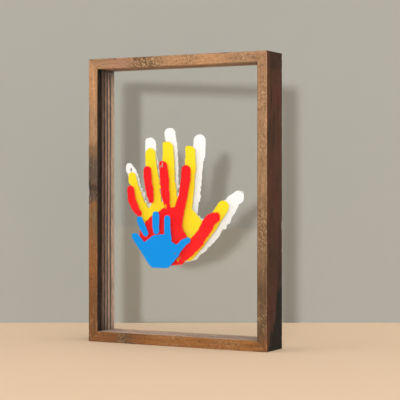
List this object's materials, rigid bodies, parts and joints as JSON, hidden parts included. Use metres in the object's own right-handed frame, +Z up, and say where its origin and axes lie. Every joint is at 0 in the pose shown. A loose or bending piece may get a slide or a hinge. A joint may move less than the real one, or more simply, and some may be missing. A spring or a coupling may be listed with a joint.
{
  "type": "handprint display frame",
  "caption": "Deep stained-wood frame with clear panes one behind another in slots. Each pane carries a painted handprint and lifts out of the top, so the prints nest by size.",
  "frame": {"origin": "middle of the underside that the frame stands on, halfway across its width and its depth", "axes": "+Z up along the height, +X across the width to the right seen from the front, +Y from the front face to the back"},
  "size_m": [0.244, 0.0452, 0.35],
  "materials": {
    "stained_wood": "rustic brown stain, worn at knots and edges",
    "bare_wood": "plain, unfinished",
    "clear_acrylic": "clear, polished",
    "blue_paint": "satin craft paint",
    "red_paint": "satin craft paint",
    "yellow_paint": "satin craft paint",
    "white_paint": "satin craft paint",
    "plated_steel": "zinc plated"
  },
  "bodies": {
    "frame": {"bottom_rail": "stained_wood", "top_rail": "stained_wood", "left_rail": "stained_wood", "right_rail": "stained_wood", "corner_tongue_bottom_left": "bare_wood", "corner_tongue_bottom_right": "bare_wood", "corner_tongue_top_left": "bare_wood", "corner_tongue_top_right": "bare_wood", "v_nail_bottom_left": "plated_steel", "v_nail_bottom_right": "plated_steel", "v_nail_top_left": "plated_steel", "v_nail_top_right": "plated_steel", "sawtooth_hanger": "plated_steel", "hanger_nails": "plated_steel"},
    "pane_1": {"front_pane": "clear_acrylic", "blue_handprint": "blue_paint"},
    "pane_2": {"second_pane": "clear_acrylic", "red_handprint": "red_paint"},
    "pane_3": {"third_pane": "clear_acrylic", "yellow_handprint": "yellow_paint"},
    "pane_4": {"rear_pane": "clear_acrylic", "white_handprint": "white_paint"}
  },
  "joints": [
    {"name": "pane_1_lift", "type": "slide", "parent": "frame", "child": "pane_1", "axis": [0, 0, 1], "range_m": [0, 0.329]},
    {"name": "pane_2_lift", "type": "slide", "parent": "frame", "child": "pane_2", "axis": [0, 0, 1], "range_m": [0, 0.329]},
    {"name": "pane_3_lift", "type": "slide", "parent": "frame", "child": "pane_3", "axis": [0, 0, 1], "range_m": [0, 0.329]},
    {"name": "pane_4_lift", "type": "slide", "parent": "frame", "child": "pane_4", "axis": [0, 0, 1], "range_m": [0, 0.329]}
  ]
}
